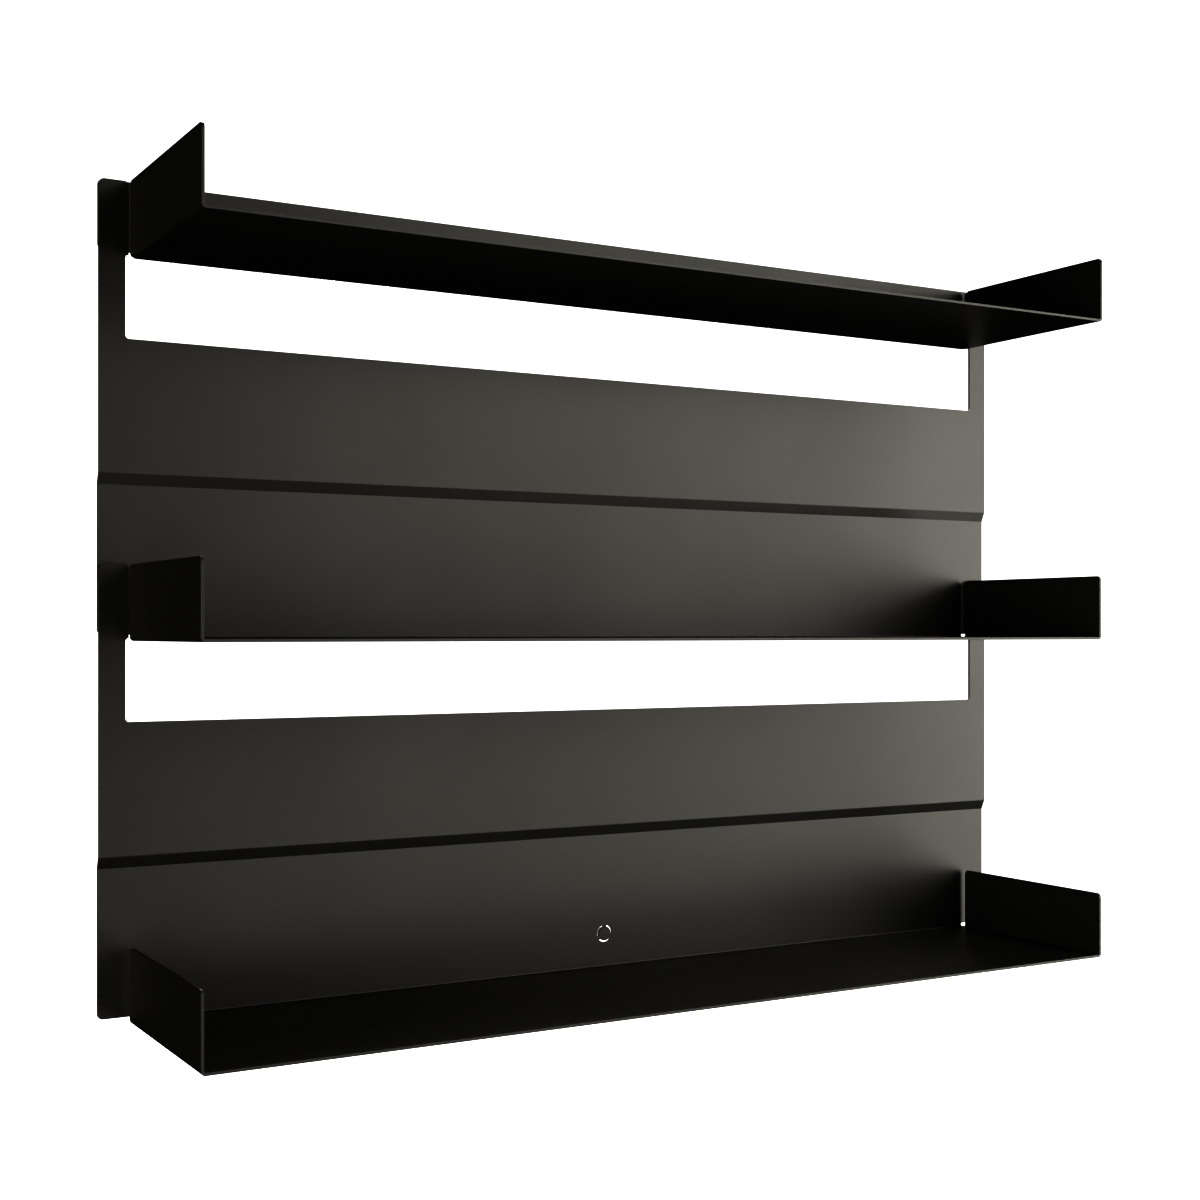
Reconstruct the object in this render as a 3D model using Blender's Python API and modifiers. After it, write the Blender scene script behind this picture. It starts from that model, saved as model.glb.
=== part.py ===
"""Three-tier wall display shelf, folded from sheet steel.

Three tray panels hang one below the other.  Each is a single folded sheet: a back plate, a tray
folded forward from its lower edge, and two side walls folded up from the tray.  The two lower
panels also have a pair of ears and a window that let the tray above reach forward, and a joggle
that steps the plate back towards the wall.  Two rails on the wall carry the lower panels by
headed studs, and countersunk screws hidden behind the ears hold the top panel.

Frame: +Z up, X along the shelf, the shelf faces -Y, the wall is the plane Y = 0.  The origin is
the middle of the upper wall rail's rear face.
"""
import math

import bmesh
import bpy

# ---------------------------------------------------------------- driving dimensions (metres)
WIDTH = 0.800            # back plates, side to side
SHEET = 0.002            # panel sheet thickness
BEND = 0.001             # inside radius of the tray folds
CORNER = 0.004           # rounded corners of plates and side walls
GAP = 0.0003             # clearance between pieces that touch

PITCH = 0.2622           # from one tray to the next
TRAY_DEPTH = 0.1646      # from a plate's front to its tray's front edge
TRAY_INSET = 0.0211      # from the plate's side edge to the tray's outer side
TRAY_WALL = 0.0524       # height of the tray's side walls, from the tray's underside
WALL_BACK_GAP = 0.003    # from a plate's front to the back edge of the tray's side walls
FOLD_INSET = 0.0248      # from the plate's side edge to the end of the fold into the tray
PLATE_RISE = 0.0043      # the plate's foot beyond that fold, above the tray's underside

STAND_OFF = 0.0015       # the lower part of each back plate stands this far off the wall
JOGGLE_STEP = 0.0036     # how far the upper part of a back plate stands in front of the lower
JOGGLE_DROP = 0.1466     # from a tray's underside down to the joggle below it
JOGGLE_ANGLE = math.radians(24)
JOGGLE_BEND = 0.0008     # inside radius of the joggle's two folds

WINDOW_DROP = 0.0554     # from a tray's underside down to the window's lower edge
WINDOW_RISE = 0.0020     # from a tray's underside up to the ears' lower inner corners
WINDOW_CORNER = 0.0025
WINDOW_STRIP = 0.0182    # width of the plate beside the window
EAR_WIDTH = 0.0204
EAR_ROUND = 0.003        # rounded inner top corner of the ears

RING_RADIUS = 0.0068     # outside of the pierced ring near the foot of the bottom plate
RING_SLOT = 0.0011       # width of the ring's slots
RING_RISE = 0.028        # the ring's centre above the bottom tray's underside
RING_ARCS = 3            # slots round the ring
RING_BRIDGE = math.radians(30)

RAIL_LENGTH = 0.700
RAIL_HEIGHT = 0.060
RAIL_SHEET = 0.0015
RAIL_LIP = 0.014         # height of the rail's forward lip
RAIL_STEP = 0.0018       # the lip stands this far off the wall
SLOT_DEPTH = 0.007       # how deep the rail's slots are, down to the stud's axis

STUD_RADIUS = 0.002
STUD_FLANGE_RADIUS = 0.0035
STUD_FLANGE = 0.0008     # thickness of the stud's welded flange
STUD_HEAD_RADIUS = 0.004
STUD_HEAD_HEIGHT = 0.0012

SCREW_LENGTH = 0.026
SCREW_RADIUS = 0.002
SCREW_POINT = 0.005      # length of the screw's pointed end
HEAD_RADIUS = 0.0038     # countersunk head
HEAD_RIM = 0.0003        # height of that head's straight rim
HEAD_DEPTH = 0.0017
PAN_RADIUS = 0.0042      # pan head
PAN_HEIGHT = 0.0022
RECESS_RADIUS = 0.0017   # hexagon recess in every head
RECESS_DEPTH = 0.0011
PLUG_RADIUS = 0.0035
PLUG_LENGTH = 0.020
PLUG_INSET = 0.0025      # the plug's rim sits this far inside the wall
PLUG_RIBS = 4
PLUG_RIB = 0.0004        # height of the plug's ribs
PAD_RADIUS = 0.006       # spacers and pads

STUD_PLACES = (("left", -0.28), ("centre", 0.0), ("right", 0.28))
RAIL_SCREW_PLACES = (("far_left", -0.31), ("left", -0.11), ("right", 0.11), ("far_right", 0.31))
RAIL_SCREW_DROP = 0.012  # rail screws below the rail's middle
SCREW_INSET = 0.012      # panel screws and foot pads, from the plate's side edge
TOP_SCREW_RISES = (("lower", 0.013), ("upper", 0.039))
LOCK_RISE = 0.026        # lock screws above the middle tray's underside
PAD_X = 0.300            # wall pads either side of the middle
PAD_RISE = 0.070         # wall pads above their tray's underside
FOOT_PAD_RISE = 0.014

ARC_STEPS = 6            # segments of each fold and rounded corner
TURN_STEPS = 12          # sides of the small turned pieces
MARGIN = 0.005           # how far cutters reach past what they cut
TINY = 0.000001          # tolerance when points are compared

# ---------------------------------------------------------------- levels that follow from them
LOWER_FRONT = -(STAND_OFF + SHEET)             # front of the lower back plates
UPPER_FRONT = LOWER_FRONT - JOGGLE_STEP        # front of the ears and the steps
UPPER_REAR = UPPER_FRONT + SHEET
TOP_FRONT = UPPER_REAR + GAP                   # the top plate lies behind the ears
TOP_REAR = TOP_FRONT + SHEET

# The rail sits in the middle of the step between the window and the joggle.
TOP_FOOT = (WINDOW_DROP + JOGGLE_DROP) / 2     # underside of the top tray
MIDDLE_FOOT = TOP_FOOT - PITCH
BOTTOM_FOOT = MIDDLE_FOOT - PITCH
UPPER_RAIL = 0.0
LOWER_RAIL = -PITCH

LIP_REAR = -RAIL_STEP
LIP_FRONT = LIP_REAR - RAIL_SHEET
STUD_HEIGHT = RAIL_HEIGHT / 2 - SLOT_DEPTH     # stud axis above the rail's middle
HALF = WIDTH / 2
QUARTER = math.pi / 2


# ---------------------------------------------------------------- scene and materials
def clear_scene():
    """Remove every object, so the script starts from nothing."""
    for obj in list(bpy.data.objects):
        bpy.data.objects.remove(obj, do_unlink=True)


def make_collection(name):
    """Return a new collection linked to the scene."""
    collection = bpy.data.collections.new(name)
    bpy.context.scene.collection.children.link(collection)
    return collection


def make_material(name, colour, roughness, metallic):
    """Return a Principled material."""
    material = bpy.data.materials.new(name)
    material.use_nodes = True
    shader = material.node_tree.nodes["Principled BSDF"]
    shader.inputs["Base Color"].default_value = (*colour, 1.0)
    shader.inputs["Roughness"].default_value = roughness
    shader.inputs["Metallic"].default_value = metallic
    return material


def add_object(name, mesh, collection, material=None):
    """Link a mesh as a named object, with a material of its own."""
    obj = bpy.data.objects.new(name, mesh)
    collection.objects.link(obj)
    if material is not None:
        own = material.copy()
        own.name = name + "_finish"
        obj.data.materials.clear()
        obj.data.materials.append(own)
    return obj


def make_cutter(obj):
    """Mark an object as a cutter only."""
    obj.hide_render = True
    obj.display_type = "WIRE"
    return obj


def cut(obj, cutter):
    """Subtract a cutter from an object."""
    boolean = obj.modifiers.new("Cut " + cutter.name, "BOOLEAN")
    boolean.operation = "DIFFERENCE"
    boolean.solver = "EXACT"
    boolean.object = cutter
    return boolean


def evaluated_mesh(obj):
    """Return a new mesh of the object with its modifiers applied, and remove the object."""
    graph = bpy.context.evaluated_depsgraph_get()
    graph.update()
    mesh = bpy.data.meshes.new_from_object(obj.evaluated_get(graph))
    bpy.data.objects.remove(obj, do_unlink=True)
    return mesh


# ---------------------------------------------------------------- outlines and turned shapes
def arc(cx, cz, radius, start, end, steps=ARC_STEPS):
    """Return (x, z) points along an arc, both ends included."""
    angles = [start + (end - start) * step / steps for step in range(steps + 1)]
    return [(cx + radius * math.cos(a), cz + radius * math.sin(a)) for a in angles]


def outline_prism(name, points, y_front, y_rear, collection):
    """Return a solid with the given (x, z) outline between two planes of constant Y."""
    curve = bpy.data.curves.new(name, "CURVE")
    curve.dimensions = "2D"
    curve.fill_mode = "BOTH"
    curve.extrude = (y_rear - y_front) / 2
    spline = curve.splines.new("POLY")
    spline.points.add(len(points) - 1)
    for point, (x, z) in zip(spline.points, points):
        point.co = (x, z, 0.0, 1.0)
    spline.use_cyclic_u = True
    guide = bpy.data.objects.new(name, curve)
    guide.location = (0.0, (y_front + y_rear) / 2, 0.0)
    guide.rotation_euler = (QUARTER, 0.0, 0.0)
    collection.objects.link(guide)
    bpy.context.view_layer.update()
    placing = guide.matrix_world.copy()
    mesh = evaluated_mesh(guide)
    weld = bmesh.new()
    weld.from_mesh(mesh)
    bmesh.ops.remove_doubles(weld, verts=weld.verts, dist=TINY)
    bmesh.ops.recalc_face_normals(weld, faces=weld.faces)
    weld.to_mesh(mesh)
    weld.free()
    solid = bpy.data.objects.new(name, mesh)
    solid.matrix_world = placing
    collection.objects.link(solid)
    return solid


def turned_object(name, profile, closed, collection, steps=TURN_STEPS):
    """Return a shape turned about its own Z axis from an (r, z) profile."""
    mesh = bpy.data.meshes.new(name)
    edges = [(i, i + 1) for i in range(len(profile) - 1)]
    if closed:
        edges.append((len(profile) - 1, 0))
    mesh.from_pydata([(r, 0.0, z) for r, z in profile], edges, [])
    obj = bpy.data.objects.new(name, mesh)
    collection.objects.link(obj)
    turn = obj.modifiers.new("Turn", "SCREW")
    turn.steps = steps
    turn.render_steps = steps
    turn.use_merge_vertices = True
    turn.merge_threshold = 0.00001
    return obj


def place_turned(name, mesh, x, y, z, collection, material):
    """Place a turned piece with its own +Z pointing out of the wall, along -Y."""
    obj = add_object(name, mesh.copy(), collection, material)
    obj.location = (x, y, z)
    obj.rotation_euler = (QUARTER, 0.0, 0.0)
    obj.data.shade_smooth()
    obj.data.set_sharp_from_angle(angle=math.radians(35))
    return obj


# ---------------------------------------------------------------- folded sheets
def extrude_row(bm, edges, move):
    """Extrude a row of edges by one move and return the new row."""
    made = bmesh.ops.extrude_edge_only(bm, edges=edges)["geom"]
    verts = [item for item in made if isinstance(item, bmesh.types.BMVert)]
    bmesh.ops.translate(bm, verts=verts, vec=move)
    fresh = set(verts)
    return [
        item for item in made
        if isinstance(item, bmesh.types.BMEdge) and all(v in fresh for v in item.verts)
    ]


def face_forward(bm):
    """Make an open sheet's normals agree, with its widest upright face towards -Y."""
    bmesh.ops.recalc_face_normals(bm, faces=bm.faces)
    upright = [face for face in bm.faces if abs(face.normal.y) > 0.99]
    widest = max(upright, key=lambda face: face.calc_area())
    if widest.normal.y > 0:
        bmesh.ops.reverse_faces(bm, faces=bm.faces)


def sheet_object(name, bm, thickness, offset, collection, material):
    """Turn an open sheet into an object that is thickened to one side."""
    mesh = bpy.data.meshes.new(name)
    bm.to_mesh(mesh)
    bm.free()
    obj = add_object(name, mesh, collection, material)
    shell = obj.modifiers.new("Sheet", "SOLIDIFY")
    shell.thickness = thickness
    shell.offset = offset
    shell.use_even_offset = True
    return obj


# ---------------------------------------------------------------- tray panels
def fold_moves(start):
    """Return the (outward, up) moves round a tray fold, whose travel turns up by a right angle."""
    moves = []
    for step in range(ARC_STEPS):
        a = start + QUARTER * step / ARC_STEPS
        b = start + QUARTER * (step + 1) / ARC_STEPS
        moves.append((BEND * (math.sin(b) - math.sin(a)), BEND * (math.cos(a) - math.cos(b))))
    return moves


def turn_moves(radius):
    """Return the (back, up) moves round one fold of the joggle."""
    steps = ARC_STEPS // 2
    moves = []
    for step in range(steps):
        a = JOGGLE_ANGLE * step / steps
        b = JOGGLE_ANGLE * (step + 1) / steps
        moves.append((radius * (math.cos(a) - math.cos(b)), radius * (math.sin(a) - math.sin(b))))
    return moves


def joggle_moves():
    """Return the (back, up) moves of the face down the joggle, from the upper level to the lower."""
    # The face turns round the outside of the first fold and the inside of the second.
    first = turn_moves(JOGGLE_BEND + SHEET)
    second = turn_moves(JOGGLE_BEND)
    left_over = JOGGLE_STEP - sum(back for back, _ in first + second)
    return first + [(left_over, -left_over / math.tan(JOGGLE_ANGLE))] + second[::-1]


def panel_face(foot, stepped):
    """Return a bmesh of the panel's face side: plate front, tray top and side walls' insides."""
    bm = bmesh.new()
    floor = foot + SHEET
    top = foot + TRAY_WALL
    y_plate = TOP_FRONT
    y_top = TOP_FRONT
    if stepped:
        top += PITCH
        y_plate = LOWER_FRONT
        y_top = UPPER_FRONT

    # The plate, from its top edge down.  The edge is split where the fold into the tray ends.
    stations = (-HALF, -HALF + FOLD_INSET, HALF - FOLD_INSET, HALF)
    verts = [bm.verts.new((x, y_top, top)) for x in stations]
    row = [bm.edges.new(pair) for pair in zip(verts, verts[1:])]
    level = top
    if stepped:
        level = foot + PITCH - JOGGLE_DROP
        row = extrude_row(bm, row, (0.0, 0.0, level - top))
        for back, up in joggle_moves():
            row = extrude_row(bm, row, (0.0, back, up))
            level += up
    row = extrude_row(bm, row, (0.0, 0.0, foot + PLATE_RISE - level))

    # The tray fold, from straight down to straight forward, then on to the side walls' backs.
    tab = [edge for edge in row if all(abs(v.co.x) < HALF - TINY for v in edge.verts)]
    tab = extrude_row(bm, tab, (0.0, 0.0, SHEET + BEND - PLATE_RISE))
    for forward, up in fold_moves(-QUARTER):
        tab = extrude_row(bm, tab, (0.0, -forward, up))
    tab = extrude_row(bm, tab, (0.0, BEND - WALL_BACK_GAP, 0.0))

    # The tray's floor out to its side folds, then the side walls.
    y_wall = y_plate - WALL_BACK_GAP
    x_fold = HALF - TRAY_INSET - SHEET - BEND
    for vert in {v for edge in tab for v in edge.verts}:
        corner = bm.verts.new((math.copysign(x_fold, vert.co.x), y_wall, floor))
        tab.append(bm.edges.new((vert, corner)))
    extrude_row(bm, tab, (0.0, WALL_BACK_GAP - TRAY_DEPTH, 0.0))
    for side in (-1.0, 1.0):
        hem = [
            edge for edge in bm.edges
            if all(abs(v.co.x - side * x_fold) < TINY for v in edge.verts)
        ]
        for out, up in fold_moves(0.0):
            hem = extrude_row(bm, hem, (side * out, 0.0, up))
        extrude_row(bm, hem, (0.0, 0.0, TRAY_WALL - SHEET - BEND))

    round_corners(bm, foot, top)
    face_forward(bm)
    return bm


def round_corners(bm, foot, top):
    """Round the free corners of the back plate and of the side walls."""
    x_wall = HALF - TRAY_INSET - SHEET

    def at(value, target):
        return abs(value - target) < TINY

    def is_corner(vert):
        x, _, z = vert.co
        on_plate = at(abs(x), HALF) and (at(z, top) or at(z, foot + PLATE_RISE))
        on_wall = at(abs(x), x_wall) and at(z, foot + TRAY_WALL)
        return on_plate or on_wall

    corners = [vert for vert in bm.verts if is_corner(vert)]
    bmesh.ops.bevel(
        bm, geom=corners, offset=CORNER, offset_type="OFFSET", segments=ARC_STEPS,
        profile=0.5, affect="VERTICES",
    )


def make_panel(name, foot, stepped, collection, material):
    """Make one folded panel whose tray's underside is at the given height."""
    return sheet_object(name, panel_face(foot, stepped), SHEET, -1.0, collection, material)


def window_cutter(name, foot, collection):
    """Return the cutter for the window round the tray above, open at the top between the ears."""
    side = HALF - WINDOW_STRIP
    ear = HALF - EAR_WIDTH
    low = foot - WINDOW_DROP
    shoulder = foot + WINDOW_RISE
    rim = foot + TRAY_WALL
    right = arc(side - WINDOW_CORNER, low + WINDOW_CORNER, WINDOW_CORNER, -QUARTER, 0.0)
    right += arc(ear, shoulder - (side - ear), side - ear, 0.0, QUARTER)
    right += arc(ear + EAR_ROUND, rim - EAR_ROUND, EAR_ROUND, 2 * QUARTER, QUARTER)
    right.append((ear + EAR_ROUND, rim + MARGIN))
    points = right + [(-x, z) for x, z in reversed(right)]
    prism = outline_prism(name, points, UPPER_FRONT - MARGIN, UPPER_REAR + MARGIN, collection)
    return make_cutter(prism)


def ring_cutters(name, x, z, collection):
    """Return the cutters of a ring of arc slots pierced through the bottom plate."""
    cutters = []
    sweep = 4 * QUARTER / RING_ARCS - RING_BRIDGE
    for slot in range(RING_ARCS):
        start = QUARTER + RING_BRIDGE / 2 + slot * (sweep + RING_BRIDGE)
        points = arc(x, z, RING_RADIUS, start, start + sweep, 2 * ARC_STEPS)
        points += arc(x, z, RING_RADIUS - RING_SLOT, start + sweep, start, 2 * ARC_STEPS)
        prism = outline_prism(
            f"{name}_{slot + 1}", points, LOWER_FRONT - MARGIN, LOWER_FRONT + MARGIN, collection,
        )
        cutters.append(make_cutter(prism))
    return cutters


# ---------------------------------------------------------------- wall rails
def make_rail(name, height, collection, cutters, material):
    """Make a wall rail: a flat base on the wall with a forward lip that has open slots."""
    bm = bmesh.new()
    # The rear face, from its foot up; the lip leans forward through a short ramp.
    ends = (-RAIL_LENGTH / 2, RAIL_LENGTH / 2)
    row = [bm.edges.new([bm.verts.new((x, 0.0, height - RAIL_HEIGHT / 2)) for x in ends])]
    ramp = 2 * RAIL_STEP
    row = extrude_row(bm, row, (0.0, 0.0, RAIL_HEIGHT - RAIL_LIP - ramp))
    row = extrude_row(bm, row, (0.0, -RAIL_STEP, ramp))
    extrude_row(bm, row, (0.0, 0.0, RAIL_LIP))
    face_forward(bm)
    rail = sheet_object(name, bm, RAIL_SHEET, 1.0, collection, material)

    slot_radius = STUD_RADIUS + GAP
    top = height + RAIL_HEIGHT / 2
    axis = height + STUD_HEIGHT
    for side, x in STUD_PLACES:
        points = arc(x, axis, slot_radius, -2 * QUARTER, 0.0, 2 * ARC_STEPS)
        points += [(x + slot_radius, top + MARGIN), (x - slot_radius, top + MARGIN)]
        slot = outline_prism(f"{name}_slot_{side}", points, LIP_FRONT - SHEET, LIP_REAR + SHEET, cutters)
        cut(rail, make_cutter(slot))
    return rail


def drill(obj, name, x, y, z, profile, cutters):
    """Cut a turned hole, whose axis runs along Y, out of an object."""
    hole = turned_object(name, profile, False, cutters)
    hole.location = (x, y, z)
    hole.rotation_euler = (QUARTER, 0.0, 0.0)
    cut(obj, make_cutter(hole))


# ---------------------------------------------------------------- turned hardware
def shank_profile(neck):
    """Return the (r, z) profile of a screw's shank, from its neck down to its point."""
    return [(SCREW_RADIUS, neck), (SCREW_RADIUS, SCREW_POINT - SCREW_LENGTH), (0.0, -SCREW_LENGTH)]


def countersunk_screw(collection, cutters):
    """Return the mesh of a countersunk screw, its head's flat top at Z = 0."""
    profile = [(0.0, 0.0), (HEAD_RADIUS, 0.0), (HEAD_RADIUS, -HEAD_RIM)]
    profile += shank_profile(-HEAD_DEPTH)
    return recessed("countersunk", profile, 0.0, collection, cutters)


def pan_screw(collection, cutters):
    """Return the mesh of a pan-head screw, the underside of its head at Z = 0."""
    profile = [(0.0, PAN_HEIGHT)]
    dome = ARC_STEPS // 2
    for step in range(1, dome + 1):
        angle = QUARTER * step / (dome + 1)
        profile.append((PAN_RADIUS * math.sin(angle), PAN_HEIGHT * (1 + math.cos(angle)) / 2))
    profile += [(PAN_RADIUS, PAN_HEIGHT / 3), (PAN_RADIUS, 0.0)]
    profile += shank_profile(0.0)
    return recessed("pan", profile, PAN_HEIGHT, collection, cutters)


def recessed(name, profile, top, collection, cutters):
    """Turn a screw's profile and cut the hexagon recess into its head."""
    blank = turned_object(name + "_blank", profile, False, collection)
    bpy.ops.mesh.primitive_cylinder_add(
        vertices=6, radius=RECESS_RADIUS, depth=2 * RECESS_DEPTH, location=(0.0, 0.0, top),
    )
    key = bpy.context.active_object
    key.name = name + "_recess"
    for owner in list(key.users_collection):
        owner.objects.unlink(key)
    cutters.objects.link(key)
    cut(blank, make_cutter(key))
    mesh = evaluated_mesh(blank)
    bpy.data.objects.remove(key, do_unlink=True)
    return mesh


def ring_mesh(name, inner, outer, height, collection):
    """Return a flat ring whose rear face is at Z = 0."""
    profile = [(outer, height), (outer, 0.0), (inner, 0.0), (inner, height)]
    return evaluated_mesh(turned_object(name, profile, True, collection))


def plug_mesh(collection):
    """Return a ribbed wall plug whose rim is at Z = 0."""
    pitch = PLUG_LENGTH / (PLUG_RIBS + 1)
    valley = PLUG_RADIUS - PLUG_RIB
    bore = SCREW_RADIUS + GAP
    profile = [(PLUG_RADIUS, 0.0)]
    for rib in range(1, PLUG_RIBS + 1):
        profile.append((PLUG_RADIUS, -rib * pitch))
        profile.append((valley, -rib * pitch - pitch / 4))
    profile += [(valley, -PLUG_LENGTH), (bore, -PLUG_LENGTH), (bore, 0.0)]
    return evaluated_mesh(turned_object("plug", profile, True, collection))


def stud_mesh(collection):
    """Return a headed stud; Z = 0 is its welded foot and its head points to the wall, -Z."""
    neck_end = UPPER_REAR - LIP_REAR
    head_end = neck_end - STUD_HEAD_HEIGHT
    profile = [
        (0.0, 0.0),
        (STUD_FLANGE_RADIUS, 0.0),
        (STUD_FLANGE_RADIUS, -STUD_FLANGE),
        (STUD_RADIUS, -STUD_FLANGE),
        (STUD_RADIUS, neck_end),
        (STUD_HEAD_RADIUS, neck_end),
        (STUD_HEAD_RADIUS, head_end),
        (0.0, head_end),
    ]
    return evaluated_mesh(turned_object("stud", profile, False, collection))


def pad_mesh(radius, height, edge, collection):
    """Return a disc with a rounded front edge, its rear face at Z = 0."""
    profile = [(0.0, height)]
    profile += arc(radius - edge, height - edge, edge, QUARTER, 0.0, ARC_STEPS // 2)
    profile += [(radius, 0.0), (0.0, 0.0)]
    return evaluated_mesh(turned_object("pad", profile, False, collection))


# ---------------------------------------------------------------- assembly
def add_fixing(name, x, z, head_y, screw, spacer, kit):
    """Add one screw with its wall plug and, where the plate stands off the wall, its spacer."""
    parts, steel, nylon, meshes = kit
    place_turned(name + "_screw", meshes[screw], x, head_y, z, parts, steel)
    place_turned(name + "_plug", meshes["plug"], x, PLUG_INSET, z, parts, nylon)
    if spacer is not None:
        place_turned(name + "_spacer", meshes[spacer], x, 0.0, z, parts, nylon)


def add_panels(parts, cutters, coat):
    """Make the three panels with their windows and the pierced ring, and return the upper two."""
    top = make_panel("top_tray_panel", TOP_FOOT, False, parts, coat)
    middle = make_panel("middle_tray_panel", MIDDLE_FOOT, True, parts, coat)
    bottom = make_panel("bottom_tray_panel", BOTTOM_FOOT, True, parts, coat)
    cut(middle, window_cutter("middle_window", TOP_FOOT, cutters))
    cut(bottom, window_cutter("bottom_window", MIDDLE_FOOT, cutters))
    for slot in ring_cutters("ring_slot", 0.0, BOTTOM_FOOT + RING_RISE, cutters):
        cut(bottom, slot)
    return top, middle


def add_panel_screws(top, middle, kit, cutters):
    """Screw the top panel to the wall and lock the middle one, all behind the ears."""
    # The holes follow the screw's head, one gap larger all round.
    sink = [
        (0.0, SHEET), (HEAD_RADIUS + GAP, SHEET), (HEAD_RADIUS + GAP, -GAP),
        (SCREW_RADIUS + GAP, -HEAD_DEPTH - GAP), (SCREW_RADIUS + GAP, -2 * SHEET), (0.0, -2 * SHEET),
    ]
    for side, x in (("left", SCREW_INSET - HALF), ("right", HALF - SCREW_INSET)):
        for level, rise in TOP_SCREW_RISES:
            name = f"top_{side}_{level}"
            add_fixing(name, x, TOP_FOOT + rise, TOP_FRONT, "countersunk", "top_spacer", kit)
            drill(top, name + "_hole", x, TOP_FRONT, TOP_FOOT + rise, sink, cutters)
        name = f"lock_{side}"
        add_fixing(name, x, MIDDLE_FOOT + LOCK_RISE, LOWER_FRONT, "countersunk", "lock_spacer", kit)
        drill(middle, name + "_hole", x, LOWER_FRONT, MIDDLE_FOOT + LOCK_RISE, sink, cutters)


def add_rails(kit, cutters):
    """Make both wall rails, with their screws and with the panels' studs that hang in them."""
    parts, zinc, _, meshes = kit
    bore = [
        (0.0, 2 * SHEET), (SCREW_RADIUS + GAP, 2 * SHEET), (SCREW_RADIUS + GAP, -SHEET), (0.0, -SHEET),
    ]
    for level, height in (("upper", UPPER_RAIL), ("lower", LOWER_RAIL)):
        rail = make_rail(level + "_wall_rail", height, parts, cutters, zinc)
        for side, x in RAIL_SCREW_PLACES:
            z = height - RAIL_SCREW_DROP
            name = f"{level}_rail_{side}"
            add_fixing(name, x, z, -RAIL_SHEET - GAP, "pan", None, kit)
            drill(rail, name + "_hole", x, -RAIL_SHEET, z, bore, cutters)
        for side, x in STUD_PLACES:
            z = height + STUD_HEIGHT
            place_turned(f"{level}_stud_{side}", meshes["stud"], x, UPPER_REAR + GAP, z, parts, zinc)


def add_pads(parts, mesh, felt):
    """Add the pads that keep the lower plates off the wall."""
    for side, sign in (("left", -1.0), ("right", 1.0)):
        x = sign * PAD_X
        place_turned(f"middle_pad_{side}", mesh, x, 0.0, MIDDLE_FOOT + PAD_RISE, parts, felt)
        place_turned(f"bottom_pad_{side}", mesh, x, 0.0, BOTTOM_FOOT + PAD_RISE, parts, felt)
        x = sign * (HALF - SCREW_INSET)
        place_turned(f"foot_pad_{side}", mesh, x, 0.0, BOTTOM_FOOT + FOOT_PAD_RISE, parts, felt)


def main():
    """Build the whole shelf."""
    clear_scene()
    parts = make_collection("wall_display_shelf")
    cutters = make_collection("cutters")
    coat = make_material("black_powder_coat", (0.020, 0.020, 0.019), 0.45, 0.0)
    zinc = make_material("zinc_plate", (0.55, 0.56, 0.58), 0.35, 1.0)
    nylon = make_material("grey_nylon", (0.30, 0.31, 0.32), 0.55, 0.0)
    felt = make_material("black_pad", (0.03, 0.03, 0.03), 0.9, 0.0)
    bore = SCREW_RADIUS + GAP
    meshes = {
        "countersunk": countersunk_screw(parts, cutters),
        "pan": pan_screw(parts, cutters),
        "plug": plug_mesh(parts),
        "top_spacer": ring_mesh("top_spacer", bore, PAD_RADIUS, -TOP_REAR - GAP, parts),
        "lock_spacer": ring_mesh("lock_spacer", bore, PAD_RADIUS, STAND_OFF - GAP, parts),
        "stud": stud_mesh(parts),
        "pad": pad_mesh(PAD_RADIUS, STAND_OFF - GAP, GAP, parts),
    }
    kit = (parts, zinc, nylon, meshes)

    top, middle = add_panels(parts, cutters, coat)
    add_panel_screws(top, middle, kit, cutters)
    add_rails(kit, cutters)
    add_pads(parts, meshes["pad"], felt)


main()
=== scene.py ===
"""Looks of the wall display shelf: three folded tray panels, their wall rails and fixings."""
import math

import bmesh
import bpy
from mathutils import Euler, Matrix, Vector


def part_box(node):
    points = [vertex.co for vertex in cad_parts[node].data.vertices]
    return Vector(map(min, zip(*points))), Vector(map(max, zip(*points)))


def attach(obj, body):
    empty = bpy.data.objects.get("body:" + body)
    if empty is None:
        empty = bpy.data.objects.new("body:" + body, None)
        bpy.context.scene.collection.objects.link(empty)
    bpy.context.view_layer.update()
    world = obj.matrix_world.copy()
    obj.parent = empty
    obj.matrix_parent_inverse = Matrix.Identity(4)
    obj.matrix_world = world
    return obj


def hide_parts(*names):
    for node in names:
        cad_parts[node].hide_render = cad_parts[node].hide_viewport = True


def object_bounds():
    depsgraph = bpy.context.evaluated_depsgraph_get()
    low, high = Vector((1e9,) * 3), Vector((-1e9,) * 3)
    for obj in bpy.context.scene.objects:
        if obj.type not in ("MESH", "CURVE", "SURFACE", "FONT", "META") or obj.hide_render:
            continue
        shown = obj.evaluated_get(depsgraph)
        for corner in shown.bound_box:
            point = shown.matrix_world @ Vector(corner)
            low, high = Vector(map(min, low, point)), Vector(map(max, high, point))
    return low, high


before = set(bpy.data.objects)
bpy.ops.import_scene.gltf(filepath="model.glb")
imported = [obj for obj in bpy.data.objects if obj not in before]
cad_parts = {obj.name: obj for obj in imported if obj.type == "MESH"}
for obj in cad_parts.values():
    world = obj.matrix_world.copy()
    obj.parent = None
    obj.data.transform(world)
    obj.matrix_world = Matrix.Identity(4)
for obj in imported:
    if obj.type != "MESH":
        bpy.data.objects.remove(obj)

CAD_LOW, CAD_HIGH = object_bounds()

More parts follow.
